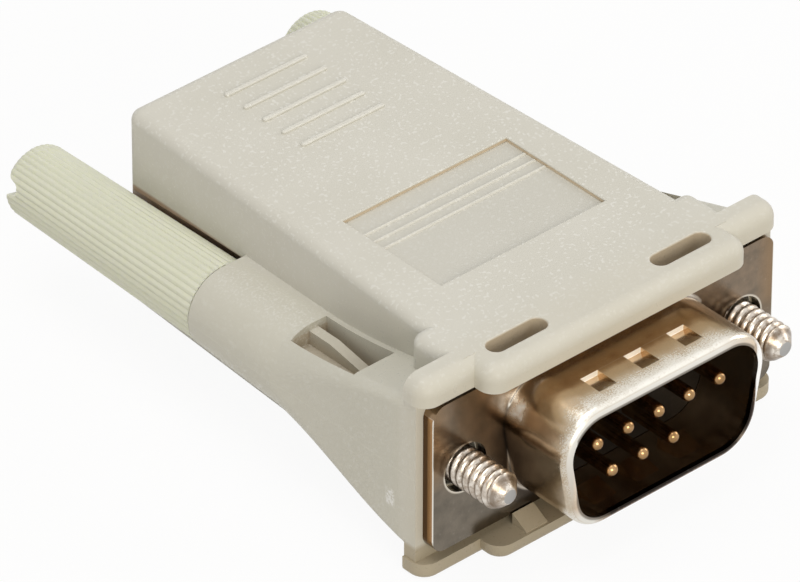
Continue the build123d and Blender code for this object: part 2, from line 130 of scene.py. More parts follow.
def show(tree, end, share, for_light, for_eye):
    """Mixes what gives light with what is seen, by a share, into a new output node."""
    mix = tree.nodes.new("ShaderNodeMixShader")
    tree.links.new(share, mix.inputs["Fac"])
    tree.links.new(for_light, mix.inputs[1])
    tree.links.new(for_eye, mix.inputs[2])
    tree.links.new(mix.outputs["Shader"], tree.nodes.new(end).inputs["Surface"])


world = bpy.data.worlds.new("studio")
world.use_nodes = True
scene.world = world
tree = world.node_tree
tree.nodes.clear()
fill = tree.nodes.new("ShaderNodeBackground")
fill.inputs["Color"].default_value = (1.0, 0.985, 0.955, 1)
fill.inputs["Strength"].default_value = 0.4
white = tree.nodes.new("ShaderNodeBackground")
white.inputs["Color"].default_value = (1, 1, 1, 1)
show(tree, "ShaderNodeOutputWorld", seen_directly(tree),
     fill.outputs["Background"], white.outputs["Background"])

floor_half, floor_gap = 2000, 0.01
floor_level = cad_box[0].z - floor_gap * mm
corners = [(x * floor_half * mm, y * floor_half * mm, floor_level)
           for x, y in ((-1, -1), (1, -1), (1, 1), (-1, 1))]
floor_mesh = bpy.data.meshes.new("floor")
floor_mesh.from_pydata(corners, [], [(0, 1, 2, 3)])
floor = bpy.data.objects.new("floor", floor_mesh)
scene.collection.objects.link(floor)
floor_paint = bpy.data.materials.new("pale_floor")
floor_paint.use_nodes = True
tree = floor_paint.node_tree
tree.nodes.clear()
matte = tree.nodes.new("ShaderNodeBsdfDiffuse")
matte.inputs["Color"].default_value = (0.82, 0.81, 0.79, 1)
white = tree.nodes.new("ShaderNodeEmission")
white.inputs["Color"].default_value = (1, 1, 1, 1)
show(tree, "ShaderNodeOutputMaterial", math_node(tree, "MULTIPLY", seen_directly(tree), 0.93),
     matte.outputs["BSDF"], white.outputs["Emission"])
floor_mesh.materials.append(floor_paint)

# Housing: two halves moulded in a warm grey-beige plastic, with the fine grain that spark
# erosion leaves in the mould. They are clipped over the plug and meet at mid-height.
def new_group(name, inputs, outputs):
    """A shader node group with its sockets, and the nodes at its two ends."""
    group = bpy.data.node_groups.new(name, "ShaderNodeTree")
    for label, kind, value in inputs:
        socket = group.interface.new_socket(label, in_out="INPUT", socket_type=kind)
        socket.default_value = value
    for label, kind in outputs:
        group.interface.new_socket(label, in_out="OUTPUT", socket_type=kind)
    start = group.nodes.new("NodeGroupInput")
    end = group.nodes.new("NodeGroupOutput")
    return group, start, end


def noise(tree, vector, scale, detail, rough=0.5):
    """A noise texture fed by a vector, with its scale a value or another node's output."""
    made = tree.nodes.new("ShaderNodeTexNoise")
    made.inputs["Detail"].default_value = detail
    made.inputs["Roughness"].default_value = rough
    tree.links.new(vector, made.inputs["Vector"])
    if isinstance(scale, (int, float)):
        made.inputs["Scale"].default_value = scale
    else:
        tree.links.new(scale, made.inputs["Scale"])
    return made.outputs["Fac"]


def times(tree, first, *others):
    """Shares or values multiplied together."""
    for other in others:
        first = math_node(tree, "MULTIPLY", first, other)
    return first


def spread(tree, value, low, high, to_low, to_high):
    """A value mapped from one range to another, held at both ends."""
    made = tree.nodes.new("ShaderNodeMapRange")
    tree.links.new(value, made.inputs["Value"])
    for label, number in (
            ("From Min", low), ("From Max", high), ("To Min", to_low), ("To Max", to_high)):
        made.inputs[label].default_value = number
    return made.outputs["Result"]


def ramp(tree, distance, low, high, to_low, to_high):
    """A place or distance mapped from a range in mm, held at both ends."""
    return spread(tree, distance, low * mm, high * mm, to_low, to_high)


def tint(tree, share, first, second):
    """Two colours mixed by a share; each is a value or another node's output."""
    made = tree.nodes.new("ShaderNodeMix")
    made.data_type = "RGBA"
    tree.links.new(share, made.inputs["Factor"])
    for label, colour in (("A", first), ("B", second)):
        socket = [s for s in made.inputs if s.name == label and s.type == "RGBA"][0]
        if isinstance(colour, (tuple, list)):
            socket.default_value = (*colour[:3], 1)
        else:
            tree.links.new(colour, socket)
    return [s for s in made.outputs if s.type == "RGBA"][0]


def coat(tree, below, colour, *shares):
    """A colour laid over another, as strongly as its shares multiplied."""
    return tint(tree, times(tree, *shares), below, colour)


# Spark-eroded grain: a fine pebble with sparse bright facets, and slow clouds in its tone
grain, grain_in, grain_out = new_group(
    "moulded_grain",
    [("Vector", "NodeSocketVector", (0, 0, 0)), ("Scale", "NodeSocketFloat", 5200.0),
     ("Facets", "NodeSocketFloat", 1.0)],
    [("Height", "NodeSocketFloat"), ("Facet", "NodeSocketFloat"), ("Cloud", "NodeSocketFloat")])
grain_place = grain_in.outputs["Vector"]
grain_scale = grain_in.outputs["Scale"]
pebble = noise(grain, grain_place, grain_scale, 2.0, 0.6)
facet = noise(grain, grain_place, times(grain, grain_scale, 0.8), 0.0)
facet_mask = spread(grain, facet, 0.67, 0.72, 0.0, 1.0)
grain.links.new(pebble, grain_out.inputs["Height"])
grain.links.new(times(grain, facet_mask, grain_in.outputs["Facets"]), grain_out.inputs["Facet"])
grain.links.new(noise(grain, grain_place, 160.0, 3.0), grain_out.inputs["Cloud"])


def new_material(name):
    """A material with its node tree, its Principled shader and the object coordinates."""
    made = bpy.data.materials.new(name)
    made.use_nodes = True
    tree = made.node_tree
    shader = tree.nodes["Principled BSDF"]
    place = tree.nodes.new("ShaderNodeTexCoord").outputs["Object"]
    return made, tree, shader, place


def use_group(tree, group, vector, **values):
    """A group placed in a material, with its own values on its named inputs."""
    made = tree.nodes.new("ShaderNodeGroup")
    made.node_tree = group
    tree.links.new(vector, made.inputs["Vector"])
    for label, value in values.items():
        made.inputs[label.replace("_", " ")].default_value = value
    return made.outputs


def bump(tree, shader, height, depth):
    """Feeds a height, scaled to a depth in mm, to the shader's normal."""
    made = tree.nodes.new("ShaderNodeBump")
    made.inputs["Strength"].default_value = 1.0
    made.inputs["Distance"].default_value = depth * mm
    tree.links.new(height, made.inputs["Height"])
    tree.links.new(made.outputs["Normal"], shader.inputs["Normal"])


def places(tree, place):
    """The object coordinates apart: X without its sign, so that both sides match, Y and Z, and
    side, which is X with its sign."""
    apart = tree.nodes.new("ShaderNodeSeparateXYZ")
    tree.links.new(place, apart.inputs["Vector"])
    return {"X": math_node(tree, "ABSOLUTE", apart.outputs["X"]), "Y": apart.outputs["Y"],
            "Z": apart.outputs["Z"], "side": apart.outputs["X"]}


def box_mask(tree, at, soft, **ranges):
    """One inside a box given in mm by its ranges on some axes, and zero past its soft border."""
    share = None
    for axis, (low, high) in ranges.items():
        middle, half = (low + high) / 2, (high - low) / 2
        off = math_node(tree, "ABSOLUTE", math_node(tree, "SUBTRACT", at[axis], middle * mm))
        inside = ramp(tree, off, half - soft / 2, half + soft / 2, 1.0, 0.0)
        share = inside if share is None else times(tree, share, inside)
    return share


def slant(tree, first, second):
    """The length of a slanting step, from its two sides at right angles."""
    squares = [math_node(tree, "POWER", math_node(tree, "ABSOLUTE", side), 2.0)
               for side in (first, second)]
    return math_node(tree, "SQRT", math_node(tree, "ADD", *squares))


screw_x = 12.495


def from_axis(tree, at):
    """The distance from the nearer screw axis."""
    return slant(tree, math_node(tree, "SUBTRACT", at["X"], screw_x * mm), at["Z"])


def wear(piece, material):
    """Gives a piece one material, also where a CAD node came with one of its own."""
    piece.data.materials.clear()
    piece.data.materials.append(material)


housing_paint, tree, shader, place = new_material("grey_beige_housing")
marks = use_group(tree, grain, place, Scale=5200.0, Facets=1.0)
at = places(tree, place)
clouds = spread(tree, marks["Cloud"], 0.3, 0.7, 0.0, 1.0)
tone = tint(tree, clouds, (0.600, 0.580, 0.510), (0.632, 0.612, 0.545))
tone = coat(tree, tone, (0.82, 0.81, 0.76), marks["Facet"], 0.45)
# The halves meet in a fine light line at mid-height
joint_line = box_mask(tree, at, 0.07, Z=(-0.055, 0.055))
tone = coat(tree, tone, (0.70, 0.685, 0.61), joint_line, 0.55)
# Painted tan shade where light reaches the plastic only through its own walls: in the mould slots,
# on two walls of the label recess, and in the core pockets, on their rear wall and towards the
# floor
slot_wall_shade = box_mask(tree, at, 0.1, X=(4.7, 10.1), Y=(-0.1, 1.55), Z=(4.0, 7.93))
recess_side_shade = box_mask(tree, at, 0.04, X=(7.38, 7.6), Y=(8.0, 18.2), Z=(7.66, 7.9))
recess_rear_shade = box_mask(tree, at, 0.04, X=(-1.0, 7.6), Y=(18.06, 18.3), Z=(7.66, 7.9))
pocket_rear_shade = box_mask(tree, at, 0.06, X=(11.0, 14.2), Y=(15.1, 15.42), Z=(1.5, 2.95))
pocket_floor_shade = times(tree, ramp(tree, at["Z"], 2.1, 3.6, 1.0, 0.0),
                     box_mask(tree, at, 0.1, X=(11.0, 14.3), Y=(7.9, 15.38), Z=(1.5, 6.0)))
for colour, share in (((0.58, 0.44, 0.28), slot_wall_shade), ((0.60, 0.47, 0.31), recess_side_shade),
                      ((0.60, 0.47, 0.31), recess_rear_shade), ((0.42, 0.28, 0.16), pocket_rear_shade),
                      ((0.30, 0.20, 0.11), pocket_floor_shade)):
    tone = coat(tree, tone, colour, share, 0.8)
# Painted shade, darker and warmer, beside the screws and along the front faces, and most of all low
# at the front
beside_shade = box_mask(tree, at, 0.6, X=(11.0, 17.0), Y=(2.5, 25.0), Z=(-8.0, 7.0))
tone = coat(tree, tone, (0.545, 0.525, 0.435), beside_shade, 0.5)
tone = coat(tree, tone, (0.575, 0.535, 0.435), ramp(tree, at["Y"], 0.6, 3.4, 0.7, 0.0),
            ramp(tree, at["Z"], 6.8, 7.9, 1.0, 0.5))
low_front_shade = box_mask(tree, at, 0.4, Y=(-3.0, 2.4), Z=(-9.0, -5.6))
tone = coat(tree, tone, (0.37, 0.30, 0.19), low_front_shade, 0.75)
# The floor of the label recess is a shade darker
recess_floor = box_mask(tree, at, 0.02, X=(-1.0, 7.5), Y=(8.1, 18.2), Z=(7.5, 7.68))
tone = coat(tree, tone, (0.50, 0.485, 0.43), recess_floor, 0.4)
# Painted highlights along the tops of the raised lines
rule_top_highlight = box_mask(tree, at, 0.03, X=(-1.0, 7.35), Y=(13.7, 16.5), Z=(7.72, 7.85))
grip_top_highlight = box_mask(tree, at, 0.03, X=(-1.0, 3.9), Y=(25.0, 36.0), Z=(8.12, 8.3))
for share in (rule_top_highlight, grip_top_highlight):
    tone = coat(tree, tone, (0.76, 0.745, 0.68), share, 0.4)
# The grain catches the light along the top of each barrel
sheen = box_mask(tree, at, 1.4, X=(11.4, 14.0), Y=(14.6, 24.6), Z=(1.7, 4.2))
tone = coat(tree, tone, (0.74, 0.73, 0.69), sheen,
            spread(tree, marks["Height"], 0.50, 0.66, 0.0, 0.5))
# A pale scuff low on the left flare
scuff = box_mask(tree, at, 0.25, side=(-17.0, -15.0), Y=(3.1, 3.9), Z=(-3.3, -2.0))
tone = coat(tree, tone, (0.82, 0.81, 0.78), scuff,
            spread(tree, marks["Height"], 0.42, 0.55, 0.0, 0.9))
# Brown in the scoops, where the knobs leave hardly any room for light
scoop = times(tree, box_mask(tree, at, 0.1, Y=(24.7, 60.0)),
              ramp(tree, from_axis(tree, at), 3.35, 3.5, 1.0, 0.0))
tone = coat(tree, tone, (0.34, 0.21, 0.13), scoop, 0.85)
tree.links.new(tone, shader.inputs["Base Color"])
tree.links.new(spread(tree, marks["Facet"], 0.0, 1.0, 0.52, 0.26), shader.inputs["Roughness"])
shader.inputs["Specular IOR Level"].default_value = 0.5
bump(tree, shader, marks["Height"], 0.011)
for name in ("upper_shell", "lower_shell"):
    wear(nodes[name], housing_paint)

# Plug shells: two stamped sheets of nickel-plated steel, the front one drawn into the skirt
# with its pressed dimples. The plate is bright with a warm cast and a fine brushed haze.
plate_haze, haze_in, haze_out = new_group(
    "plated_haze",
    [("Vector", "NodeSocketVector", (0, 0, 0)), ("Scale", "NodeSocketFloat", 900.0)],
    [("Haze", "NodeSocketFloat"), ("Speck", "NodeSocketFloat"), ("Height", "NodeSocketFloat")])
haze_place = haze_in.outputs["Vector"]
haze_scale = haze_in.outputs["Scale"]
plate_haze.links.new(noise(plate_haze, haze_place, haze_scale, 4.0, 0.6), haze_out.inputs["Haze"])
speck = noise(plate_haze, haze_place, times(plate_haze, haze_scale, 5.0), 0.0)
plate_haze.links.new(spread(plate_haze, speck, 0.74, 0.78, 0.0, 1.0), haze_out.inputs["Speck"])
plate_haze.links.new(noise(plate_haze, haze_place, times(plate_haze, haze_scale, 3.0), 2.0),
                     haze_out.inputs["Height"])


# The nine-way rim: a D whose sides lean in by ten degrees, with round corners
rim_half_width, rim_half_height, rim_corner = 8.875, 4.1, 2.5
rim_slope, rim_cosine = 0.1763, 0.9848


def leaning(tree, at, axis):
    """X or the signed side, with the lean of the rim's sides taken out."""
    return math_node(tree, "SUBTRACT", at[axis], times(tree, at["Z"], rim_slope))


def rim_growth(tree, at):
    """How far a point lies outside the outline of the rim."""
    side_at_middle = rim_half_width - rim_slope * rim_half_height
    growth = math_node(tree, "SUBTRACT", times(tree, leaning(tree, at, "X"), rim_cosine),
                       rim_cosine * side_at_middle * mm)
    corner_z = rim_half_height - rim_corner
    for sign in (1.0, -1.0):
        corner_x = side_at_middle + sign * rim_slope * corner_z - rim_corner / rim_cosine
        across = math_node(tree, "SUBTRACT", at["X"], corner_x * mm)
        upward = math_node(tree, "SUBTRACT", times(tree, at["Z"], sign), corner_z * mm)
        out = slant(tree, *(math_node(tree, "MAXIMUM", step, 0.0) for step in (across, upward)))
        growth = math_node(
            tree, "MAXIMUM", growth, math_node(tree, "SUBTRACT", out, rim_corner * mm))
    return growth


shell_plate, tree, shader, place = new_material("nickel_plated_sheet")
marks = use_group(tree, plate_haze, place, Scale=700.0)
at = places(tree, place)
growth = rim_growth(tree, at)
forward = times(tree, at["Y"], -1.0)
haze_share = spread(tree, marks["Haze"], 0.35, 0.65, 0.0, 1.0)
# Flange: grey below and browner above, golden at its ends, and painted dark shade low beside the
# skirt
flange_low = tint(tree, haze_share, (0.140, 0.120, 0.094), (0.195, 0.166, 0.130))
flange_high = tint(tree, haze_share, (0.185, 0.145, 0.105), (0.27, 0.20, 0.14))
flange_tone = tint(tree, ramp(tree, at["Z"], -2.0, 3.0, 0.0, 1.0), flange_low, flange_high)
flange_tone = coat(tree, flange_tone, (0.30, 0.19, 0.10),
                   ramp(tree, at["X"], 13.8, 15.0, 0.0, 0.6),
                   ramp(tree, at["Z"], -1.0, 1.0, 0.0, 1.0))
flange_tone = coat(tree, flange_tone, (0.040, 0.028, 0.019),
                   ramp(tree, growth, 1.2, 2.8, 0.9, 0.0),
                   ramp(tree, at["Z"], 1.2, 2.6, 1.0, 0.0))
# Skirt: painted shade and reflection of the housing make its rear half brown, darker on its sides
# and lighter along its top root
skirt_shade_and_reflection = tint(tree, haze_share, (0.56, 0.375, 0.22), (0.80, 0.58, 0.36))
skirt_shade_and_reflection = coat(tree, skirt_shade_and_reflection, (0.11, 0.073, 0.045),
                  ramp(tree, leaning(tree, at, "X"), 8.2, 8.7, 0.0, 0.6))
skirt_shade_and_reflection = coat(tree, skirt_shade_and_reflection, (0.85, 0.66, 0.46),
                  box_mask(tree, at, 0.8, Y=(-1.6, 0.5), Z=(2.6, 6.0)))
tone = tint(tree, ramp(tree, forward, 0.0, 0.3, 0.0, 1.0), flange_tone, skirt_shade_and_reflection)
# Towards the mouth a painted reflection turns it golden and then bright, with a grain where the
# tones meet
fine = noise(tree, place, 7500.0, 3.0, 0.75)
blurred = forward
for value, reach in ((fine, 3.4), (marks["Haze"], 2.0)):
    drift = times(tree, math_node(tree, "SUBTRACT", value, 0.5), reach * mm)
    blurred = math_node(tree, "ADD", blurred, drift)
blurred = math_node(tree, "SUBTRACT", blurred, ramp(tree, at["X"], 7.4, 8.8, 0.0, 0.9 * mm))
outside = math_node(tree, "MAXIMUM", ramp(tree, growth, 0.38, 0.55, 0.0, 1.0),
                    box_mask(tree, at, 0.1, Y=(-4.6, -2.4), Z=(4.1, 5.0)))
tone = coat(tree, tone, (0.48, 0.385, 0.265), outside, ramp(tree, blurred, 1.6, 4.6, 0.0, 1.0))
# The painted highlight is full on the top of the mouth and at its lower left corner, faint below
lit = times(tree, ramp(tree, at["Z"], -3.6, 2.6, 0.08, 1.0),
            ramp(tree, at["side"], 5.0, 9.0, 1.0, 0.2))
lower_left = box_mask(tree, at, 1.6, side=(-9.6, -5.6), Z=(-6.0, -2.6))
lit = math_node(tree, "MAXIMUM", lit, lower_left)
mouth = box_mask(tree, at, 0.12, Y=(-7.0, -5.86))
highlight_front = times(tree, outside, ramp(tree, blurred, 4.2, 5.7, 0.0, 1.0))
rim_highlight = times(tree, math_node(tree, "MAXIMUM", highlight_front, mouth), lit)
tone = coat(tree, tone, (0.80, 0.77, 0.70), rim_highlight)
# The thin edge that is turned in at the mouth is grey
tone = coat(tree, tone, (0.17, 0.14, 0.11), mouth, ramp(tree, growth, 0.12, 0.24, 0.85, 0.0))
# Below and on the right the mouth is a thin speckled brown line inside a painted bright reflection
# on the rim, with painted near-black shade at its inner edge
far_mouth = math_node(tree, "MAXIMUM", ramp(tree, at["Z"], -4.0, -3.4, 1.0, 0.0),
                      ramp(tree, leaning(tree, at, "side"), 7.4, 8.0, 0.0, 1.0))
far_mouth = times(tree, far_mouth, math_node(tree, "SUBTRACT", 1.0, lower_left),
                  ramp(tree, forward, 5.3, 5.7, 0.0, 1.0))
brown_line = tint(tree, spread(tree, fine, 0.52, 0.62, 0.0, 1.0),
                  (0.05, 0.025, 0.012), (0.34, 0.21, 0.11))
far_tone = tint(tree, ramp(tree, growth, 0.20, 0.26, 0.0, 1.0), (0.02, 0.013, 0.008), brown_line)
far_tone = coat(tree, far_tone, (1.0, 0.98, 0.95), ramp(tree, growth, 0.36, 0.46, 0.0, 1.0))
tone = coat(tree, tone, far_tone, far_mouth)
# Painted highlights where the drawn corner leaves the flange, brighter higher up, and in the rear
# walls of the dimples
ring_growth = 0.82
highlight_ring_distance = math_node(tree, "ABSOLUTE", math_node(tree, "SUBTRACT", growth, ring_growth * mm))
ring_highlight_tone = tint(tree, ramp(tree, at["Z"], -1.0, 3.0, 0.0, 1.0),
                 (0.50, 0.44, 0.37), (0.95, 0.92, 0.86))
tone = coat(tree, tone, ring_highlight_tone, ramp(tree, highlight_ring_distance, 0.03, 0.18, 0.85, 0.0),
            box_mask(tree, at, 0.05, Y=(-0.1, 0.3)))
corner = times(tree, box_mask(tree, at, 0.5, side=(-9.5, -8.1), Y=(-1.6, -0.1), Z=(2.7, 4.2)),
               spread(tree, marks["Haze"], 0.42, 0.58, 0.25, 1.0))
tone = coat(tree, tone, (0.97, 0.94, 0.88), corner)
dimple_wall_highlight = box_mask(tree, at, 0.02, X=(-1.0, 4.7), Y=(-2.58, -2.52), Z=(4.2, 4.795))
tone = coat(tree, tone, (0.97, 0.95, 0.90), dimple_wall_highlight)
# Sheared ends: a painted highlight on the corner in front, then brown-gold along the front sheet
# and dark brown along the rear one
edge = box_mask(tree, at, 0.03, X=(15.35, 16.0))
tone = coat(tree, tone, (0.80, 0.77, 0.70), edge)
tone = coat(tree, tone, (0.34, 0.19, 0.08), edge, ramp(tree, at["Y"], 0.06, 0.1, 0.0, 1.0))
tone = coat(tree, tone, (0.12, 0.065, 0.028), edge, ramp(tree, at["Y"], 0.48, 0.6, 0.0, 1.0))
# A painted highlight on the outer side of the rim of each screw hole
tone = coat(tree, tone, (0.62, 0.56, 0.47), ramp(tree, from_axis(tree, at), 1.92, 2.02, 1.0, 0.0),
            box_mask(tree, at, 0.2, X=(12.0, 16.0)))
tone = coat(tree, tone, (0.92, 0.88, 0.80), marks["Speck"], 0.04)
tree.links.new(tone, shader.inputs["Base Color"])
gloss = spread(tree, rim_highlight, 0.0, 1.0, 0.2, 0.36)
for share, rough in ((corner, 0.6), (dimple_wall_highlight, 0.75)):
    gloss = math_node(tree, "MAXIMUM", gloss, times(tree, share, rough))
tree.links.new(gloss, shader.inputs["Roughness"])
shader.inputs["Metallic"].default_value = 1.0
bump(tree, shader, marks["Height"], 0.003)
for name in ("plug_front_shell", "plug_rear_shell"):
    wear(nodes[name], shell_plate)

# Insulator: a black glass-filled moulding that holds the pins. It sits between the two plug
# shells, which hold it in place.
mark_range = {"Facet": (0.0, 1.0), "Height": (0.3, 0.7)}


def moulded(name, scale, facets, tones, mark, rough, depth, **further):
    """A grained plastic in two clouded tones, with the roughness spread by one mark of its
    grain, and further values on the shader's named inputs."""
    made, tree, shader, place = new_material(name)
    marks = use_group(tree, grain, place, Scale=scale, Facets=facets)
    tree.links.new(tint(tree, marks["Cloud"], *tones), shader.inputs["Base Color"])
    tree.links.new(spread(tree, marks[mark], *mark_range[mark], *rough), shader.inputs["Roughness"])
    bump(tree, shader, marks["Height"], depth)
    for label, value in further.items():
        shader.inputs[label.replace("_", " ")].default_value = value
    return made


insulator_paint = moulded(
    "black_insulator", 3500.0, 0.4, ((0.006, 0.005, 0.004), (0.011, 0.009, 0.007)),
    "Facet", (0.55, 0.3), 0.01, Specular_IOR_Level=0.15)
wear(nodes["plug_insulator"], insulator_paint)

# Pins and contacts: turned brass pins that stand in the insulator, and drawn contact wires that
# pass through the carrier and fold back down into the socket. All are gold plated.
gold_plate, tree, shader, place = new_material("gold_plate")
marks = use_group(tree, plate_haze, place, Scale=1400.0)
at = places(tree, place)
haze_share = spread(tree, marks["Haze"], 0.35, 0.65, 0.0, 1.0)
tone = tint(tree, haze_share, (0.30, 0.17, 0.07), (0.50, 0.31, 0.15))
tone = coat(tree, tone, (0.92, 0.88, 0.80), marks["Speck"], 0.15)
# Painted shade on the underside of each pin, which is browner
pin_underside_shade = math_node(tree, "MAXIMUM", box_mask(tree, at, 0.3, Y=(-7.0, -3.0), Z=(0.6, 1.42)),
                      box_mask(tree, at, 0.3, Y=(-7.0, -3.0), Z=(-2.3, -1.42)))
tone = coat(tree, tone, (0.22, 0.13, 0.055), pin_underside_shade, 0.85)
tree.links.new(tone, shader.inputs["Base Color"])
tree.links.new(spread(tree, marks["Haze"], 0.3, 0.7, 0.16, 0.26), shader.inputs["Roughness"])
shader.inputs["Metallic"].default_value = 1.0
bump(tree, shader, marks["Height"], 0.003)
for name, node in nodes.items():
    if name.startswith(("pin_", "jack_contact_")):
        wear(node, gold_plate)

# Jack: a black moulding with the network socket, and the carrier behind it that holds the
# tails of the contacts. It sits in the rear of the housing, flush with the rear wall.
jack_paint = moulded(
    "black_jack", 4200.0, 0.6, ((0.020, 0.020, 0.021), (0.032, 0.032, 0.033)),
    "Facet", (0.48, 0.25), 0.01)
for name in ("jack_body", "contact_carrier"):
    wear(nodes[name], jack_paint)

# Leads: eight short wires with plastic insulation, each in its own colour. Each one runs from
# the barrel of its pin to the tail of its contact.
lead_colours = ((0.05, 0.12, 0.45), (0.75, 0.25, 0.03), (0.02, 0.02, 0.02), (0.55, 0.03, 0.03),
                (0.03, 0.30, 0.08), (0.78, 0.60, 0.05), (0.20, 0.09, 0.03), (0.75, 0.75, 0.72))
for number, colour in enumerate(lead_colours, start=1):
    lighter = tuple(min(1.0, 1.25 * part + 0.01) for part in colour)
    insulation = moulded(
        f"lead_insulation_{number}", 2500.0, 0.0, (colour, lighter), "Height", (0.3, 0.42), 0.004)
    wear(nodes[f"lead_{number}"], insulation)

# Jackscrews: turned steel screws with a rolled 4-40 thread at the plug end, nickel plated. Each
# is a spun profile whose thread is cut by a helix, so crest and root run round it.
weld_reach = 0.001


def turned_tree(name):
    """Spins the profile in the input mesh (x radius, y along, z depth of cut) about an axis along
    Y, with ribs and a thread cut into it, and says which identifier each input has."""
    tree = bpy.data.node_groups.new(name, "GeometryNodeTree")
    sockets = {}
    for label, kind, value in (
            ("Geometry", "NodeSocketGeometry", None), ("Around", "NodeSocketInt", 48),
            ("Axis X", "NodeSocketFloat", 0.0), ("Starts", "NodeSocketFloat", 1.0),
            ("Phase", "NodeSocketFloat", 0.0), ("Turns per Metre", "NodeSocketFloat", 0.0),
            ("Crest", "NodeSocketFloat", 1.0), ("Finish", "NodeSocketMaterial", None)):
        sockets[label] = tree.interface.new_socket(label, in_out="INPUT", socket_type=kind)
        if value is not None:
            sockets[label].default_value = value
    tree.interface.new_socket("Geometry", in_out="OUTPUT", socket_type="NodeSocketGeometry")
    start = tree.nodes.new("NodeGroupInput")
    end = tree.nodes.new("NodeGroupOutput")
    size = tree.nodes.new("GeometryNodeAttributeDomainSize")
    tree.links.new(start.outputs["Geometry"], size.inputs["Geometry"])
    rows = size.outputs["Point Count"]
    grid = tree.nodes.new("GeometryNodeMeshGrid")
    tree.links.new(math_node(tree, "ADD", start.outputs["Around"], 1.0), grid.inputs["Vertices X"])
    tree.links.new(rows, grid.inputs["Vertices Y"])
    index = tree.nodes.new("GeometryNodeInputIndex").outputs["Index"]
    row = math_node(tree, "MODULO", index, rows)
    column = math_node(tree, "FLOOR", math_node(tree, "DIVIDE", index, rows))
    share = math_node(tree, "DIVIDE", column, start.outputs["Around"])
    position = tree.nodes.new("GeometryNodeInputPosition")
    sample = tree.nodes.new("GeometryNodeSampleIndex")
    sample.data_type = "FLOAT_VECTOR"
    tree.links.new(start.outputs["Geometry"], sample.inputs["Geometry"])
    tree.links.new(position.outputs["Position"], sample.inputs["Value"])
    tree.links.new(row, sample.inputs["Index"])
    parts = tree.nodes.new("ShaderNodeSeparateXYZ")
    tree.links.new(sample.outputs["Value"], parts.inputs["Vector"])
    radius, along, cut = (parts.outputs[label] for label in "XYZ")
    # The cut is deepest where the phase of ribs and helix wraps round
    helix = times(tree, along, start.outputs["Turns per Metre"])
    ribs = math_node(tree, "ADD", times(tree, share, start.outputs["Starts"]),
                     start.outputs["Phase"])
    phase = math_node(tree, "FRACT", math_node(tree, "ADD", ribs, helix))
    from_crest = math_node(
        tree, "ABSOLUTE", math_node(tree, "SUBTRACT", times(tree, phase, 2.0), 1.0))
    depth = times(tree, cut, math_node(tree, "POWER", from_crest, start.outputs["Crest"]))
    reach = math_node(tree, "MAXIMUM", math_node(tree, "SUBTRACT", radius, depth), 0.0)
    angle = times(tree, share, math.tau)
    across, upward = (
        times(tree, reach, math_node(tree, side, angle)) for side in ("COSINE", "SINE"))
    place = tree.nodes.new("ShaderNodeCombineXYZ")
    tree.links.new(math_node(tree, "ADD", across, start.outputs["Axis X"]), place.inputs["X"])
    tree.links.new(along, place.inputs["Y"])
    tree.links.new(upward, place.inputs["Z"])
    move = tree.nodes.new("GeometryNodeSetPosition")
    tree.links.new(grid.outputs["Mesh"], move.inputs["Geometry"])
    tree.links.new(place.outputs["Vector"], move.inputs["Position"])
    weld = tree.nodes.new("GeometryNodeMergeByDistance")
    weld.inputs["Distance"].default_value = weld_reach * mm
    tree.links.new(move.outputs["Geometry"], weld.inputs["Geometry"])
    realize = tree.nodes.new("GeometryNodeRealizeInstances")
    tree.links.new(weld.outputs["Geometry"], realize.inputs["Geometry"])
    finish = tree.nodes.new("GeometryNodeSetMaterial")
    tree.links.new(realize.outputs["Geometry"], finish.inputs["Geometry"])
    tree.links.new(start.outputs["Finish"], finish.inputs["Material"])
    tree.links.new(finish.outputs["Geometry"], end.inputs["Geometry"])
    return tree, {label: socket.identifier for label, socket in sockets.items()}


turned, turned_inputs = turned_tree("turned_part")
sharp_angle = math.radians(35)


def turn(name, profile, material, cutters=(), **values):
    """A piece spun from its profile rows in mm, cut by its cutters, as a plain mesh."""
    outline = bpy.data.meshes.new(name + "_profile")
    outline.from_pydata([(r * mm, y * mm, c * mm) for r, y, c in profile],
                        [(i, i + 1) for i in range(len(profile) - 1)], [])
    maker = bpy.data.objects.new(name + "_profile", outline)
    scene.collection.objects.link(maker)
    modifier = maker.modifiers.new("turned", "NODES")
    modifier.node_group = turned
    for label, value in values.items():
        modifier[turned_inputs[label.replace("_", " ")]] = value
    modifier[turned_inputs["Finish"]] = material
    for cutter in cutters:
        cut = maker.modifiers.new("cut", "BOOLEAN")
        cut.operation = "DIFFERENCE"
        cut.solver = "EXACT"
        cut.object = cutter
    bpy.context.view_layer.update()
    made_mesh = bpy.data.meshes.new_from_object(
        maker.evaluated_get(bpy.context.evaluated_depsgraph_get()))
    made_mesh.name = name
    bpy.data.objects.remove(maker)
    for cutter in cutters:
        bpy.data.objects.remove(cutter)
    solid = bmesh.new()
    solid.from_mesh(made_mesh)
    bmesh.ops.remove_doubles(solid, verts=solid.verts, dist=weld_reach * mm)
    bmesh.ops.recalc_face_normals(solid, faces=solid.faces)
    if solid.calc_volume(signed=True) < 0:
        bmesh.ops.reverse_faces(solid, faces=solid.faces)
    solid.to_mesh(made_mesh)
    solid.free()
    made_mesh.shade_smooth()
    made_mesh.set_sharp_from_angle(angle=sharp_angle)
    made = bpy.data.objects.new(name, made_mesh)
    scene.collection.objects.link(made)
    wear(made, material)
    return made


